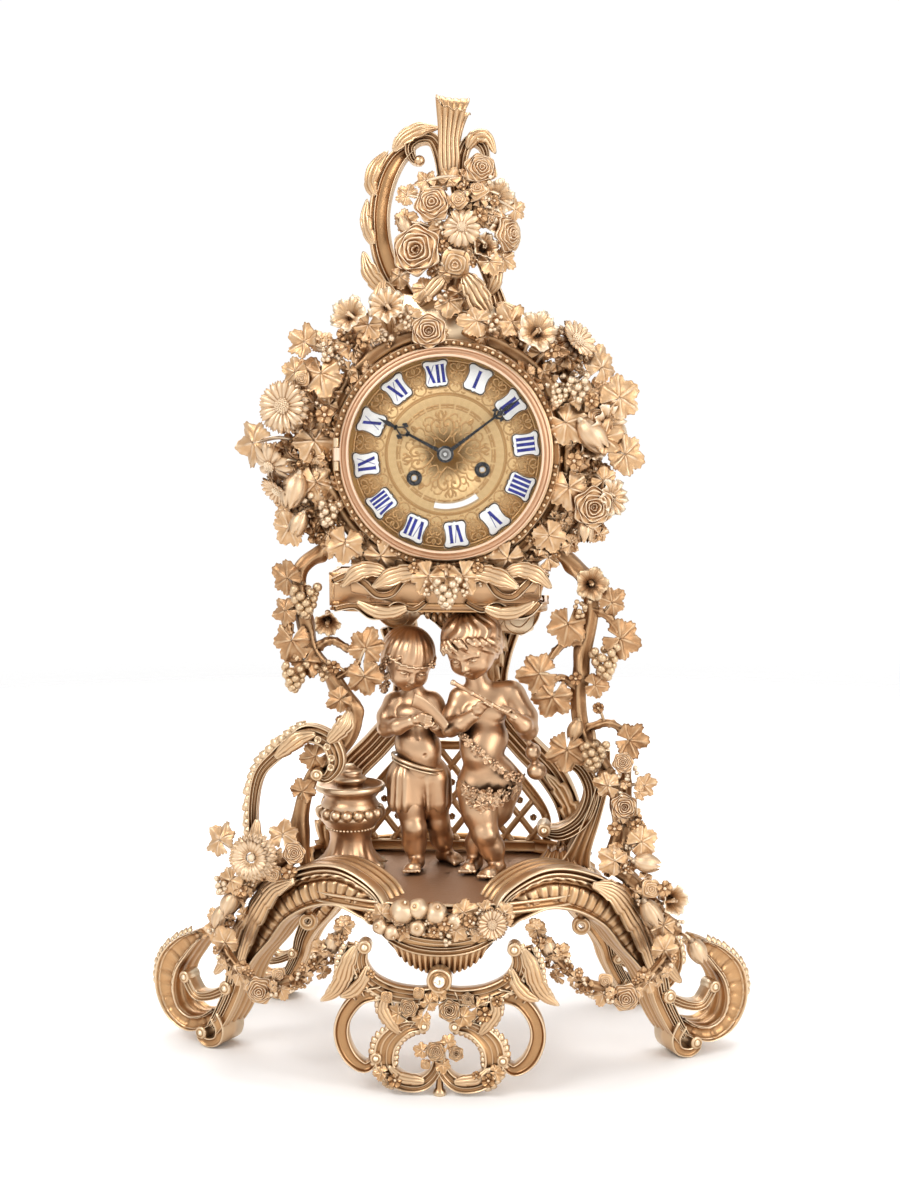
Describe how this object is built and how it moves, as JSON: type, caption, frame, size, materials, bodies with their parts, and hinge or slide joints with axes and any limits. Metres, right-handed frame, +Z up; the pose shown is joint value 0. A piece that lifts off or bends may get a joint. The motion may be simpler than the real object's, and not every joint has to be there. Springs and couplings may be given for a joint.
{
  "type": "figural mantel clock",
  "caption": "Gilt bronze mantel clock: a drum case in a flowering wreath, carried on scrolled pillars over a pair of children, an urn and a scroll-footed base.",
  "frame": {"origin": "on the shelf, under the middle of the clock's outline", "axes": "+X to the right seen from the front, +Y to the back, +Z up; the dial faces -Y"},
  "size_m": [0.3842, 0.1996, 0.5963],
  "materials": {
    "gilt_scrollwork": "satin gilding over chased bronze, burnished on the edges",
    "matt_gilt_foliage": "pale matt gilding",
    "burnished_figures": "darker burnished bronze",
    "coppery_case": "smooth coppery gilding",
    "chased_dial": "matt gilding with chased arabesques",
    "white_enamel": "glossy fired enamel with blue hour numerals",
    "movement_brass": "polished brass",
    "movement_steel": "polished steel",
    "blued_hands": "dark blued steel",
    "bezel_glass": "clear flat glass"
  },
  "bodies": {
    "case": {"platform": "gilt_scrollwork", "left_front_leg": "gilt_scrollwork", "right_front_leg": "gilt_scrollwork", "left_rear_leg": "gilt_scrollwork", "right_rear_leg": "gilt_scrollwork", "front_apron": "gilt_scrollwork", "apron_screw": "movement_steel", "fixing_lugs": "gilt_scrollwork", "left_pillar": "gilt_scrollwork", "right_pillar": "gilt_scrollwork", "cradle": "gilt_scrollwork", "trellis": "gilt_scrollwork", "left_volute": "gilt_scrollwork", "right_bracket": "gilt_scrollwork", "urn": "gilt_scrollwork", "left_figure": "burnished_figures", "right_figure": "burnished_figures", "flute": "burnished_figures", "left_branch": "matt_gilt_foliage", "right_branch": "matt_gilt_foliage", "left_wreath": "matt_gilt_foliage", "right_wreath": "matt_gilt_foliage", "crest_scroll": "gilt_scrollwork", "crest_bouquet": "matt_gilt_foliage", "grape_mask": "matt_gilt_foliage", "lip_fruit": "matt_gilt_foliage", "left_base_flowers": "matt_gilt_foliage", "right_base_flowers": "matt_gilt_foliage", "left_festoon": "matt_gilt_foliage", "right_festoon": "matt_gilt_foliage", "drum": "coppery_case", "dial_surround": "gilt_scrollwork", "dial_plate": "chased_dial", "enamel_plaques": "white_enamel", "front_plate": "movement_brass", "back_plate": "movement_brass", "suspension_cock": "movement_brass", "bell_stand": "movement_steel", "bell": "movement_brass"},
    "bezel": {"bezel_ring": "coppery_case", "bezel_glass": "bezel_glass"},
    "rear_door": {"rear_door": "coppery_case"},
    "pendulum": {"pendulum_rod": "movement_steel", "pendulum_bob": "movement_brass", "pallet_anchor": "movement_steel"},
    "centre_train": {"centre_arbor": "movement_steel"},
    "minute_hand_work": {"cannon_pinion": "movement_steel", "minute_hand": "blued_hands"},
    "hour_work": {"hour_wheel": "movement_brass", "hour_hand": "blued_hands"},
    "minute_work": {"minute_wheel": "movement_brass"},
    "going_barrel": {"going_barrel": "movement_brass"},
    "going_arbor": {"going_arbor": "movement_steel"},
    "third_wheel": {"third_wheel": "movement_brass"},
    "escape_wheel": {"escape_wheel": "movement_brass"},
    "strike_barrel": {"strike_barrel": "movement_brass"},
    "strike_arbor": {"strike_arbor": "movement_steel"},
    "strike_wheel": {"strike_wheel": "movement_brass"},
    "strike_fly": {"strike_fly": "movement_brass"},
    "hammer": {"hammer": "movement_steel"}
  },
  "joints": [
    {"name": "hands_turn", "type": "hinge", "parent": "case", "child": "minute_hand_work", "pos_m": [0, 0, 0.378], "axis": [0, 1, 0], "continuous": true},
    {"name": "centre_turn", "type": "hinge", "parent": "case", "child": "centre_train", "pos_m": [0, 0, 0.378], "axis": [0, 1, 0], "continuous": true},
    {"name": "hour_turn", "type": "hinge", "parent": "case", "child": "hour_work", "pos_m": [0, 0, 0.378], "axis": [0, 1, 0], "continuous": true},
    {"name": "minute_wheel_turn", "type": "hinge", "parent": "case", "child": "minute_work", "pos_m": [0.00136, 0, 0.36688], "axis": [0, 1, 0], "continuous": true},
    {"name": "going_barrel_turn", "type": "hinge", "parent": "case", "child": "going_barrel", "pos_m": [0.02231, 0, 0.36865], "axis": [0, 1, 0], "continuous": true},
    {"name": "third_wheel_turn", "type": "hinge", "parent": "case", "child": "third_wheel", "pos_m": [0.00571, 0, 0.3914], "axis": [0, 1, 0], "continuous": true},
    {"name": "escape_wheel_turn", "type": "hinge", "parent": "case", "child": "escape_wheel", "pos_m": [-0.00263, 0, 0.39944], "axis": [0, 1, 0], "continuous": true},
    {"name": "going_winding", "type": "hinge", "parent": "case", "child": "going_arbor", "pos_m": [0.02231, 0, 0.36865], "axis": [0, 1, 0], "continuous": true},
    {"name": "strike_barrel_turn", "type": "hinge", "parent": "case", "child": "strike_barrel", "pos_m": [-0.01938, 0, 0.36353], "axis": [0, 1, 0], "continuous": true},
    {"name": "strike_wheel_turn", "type": "hinge", "parent": "case", "child": "strike_wheel", "pos_m": [-0.02023, 0, 0.38771], "axis": [0, 1, 0], "continuous": true},
    {"name": "fly_turn", "type": "hinge", "parent": "case", "child": "strike_fly", "pos_m": [-0.02328, 0, 0.39771], "axis": [0, 1, 0], "continuous": true},
    {"name": "strike_winding", "type": "hinge", "parent": "case", "child": "strike_arbor", "pos_m": [-0.01938, 0, 0.36353], "axis": [0, 1, 0], "continuous": true},
    {"name": "pendulum_swing", "type": "hinge", "parent": "case", "child": "pendulum", "pos_m": [-0.00397, 0.022, 0.41036], "axis": [0, 1, 0], "range_deg": [-4, 4]},
    {"name": "hammer_lift", "type": "hinge", "parent": "case", "child": "hammer", "pos_m": [0.00512, 0, 0.33631], "axis": [0, 1, 0], "range_deg": [0, 12]},
    {"name": "bezel_hinge", "type": "hinge", "parent": "case", "child": "bezel", "pos_m": [-0.0666, -0.036, 0.378], "axis": [0, 0, -1], "range_deg": [0, 90]},
    {"name": "rear_door_hinge", "type": "hinge", "parent": "case", "child": "rear_door", "pos_m": [0.0646, 0.0616, 0.378], "axis": [0, 0, -1], "range_deg": [0, 110]}
  ],
  "couplings": [
    {"joint": "hour_turn", "follows": "hands_turn", "ratio": 0.083333},
    {"joint": "minute_wheel_turn", "follows": "hands_turn", "ratio": -0.33333},
    {"joint": "third_wheel_turn", "follows": "escape_wheel_turn", "ratio": -0.071429},
    {"joint": "centre_turn", "follows": "escape_wheel_turn", "ratio": 0.0059524},
    {"joint": "going_barrel_turn", "follows": "escape_wheel_turn", "ratio": -0.00085034},
    {"joint": "strike_wheel_turn", "follows": "fly_turn", "ratio": -0.16667},
    {"joint": "strike_barrel_turn", "follows": "fly_turn", "ratio": 0.02381}
  ]
}
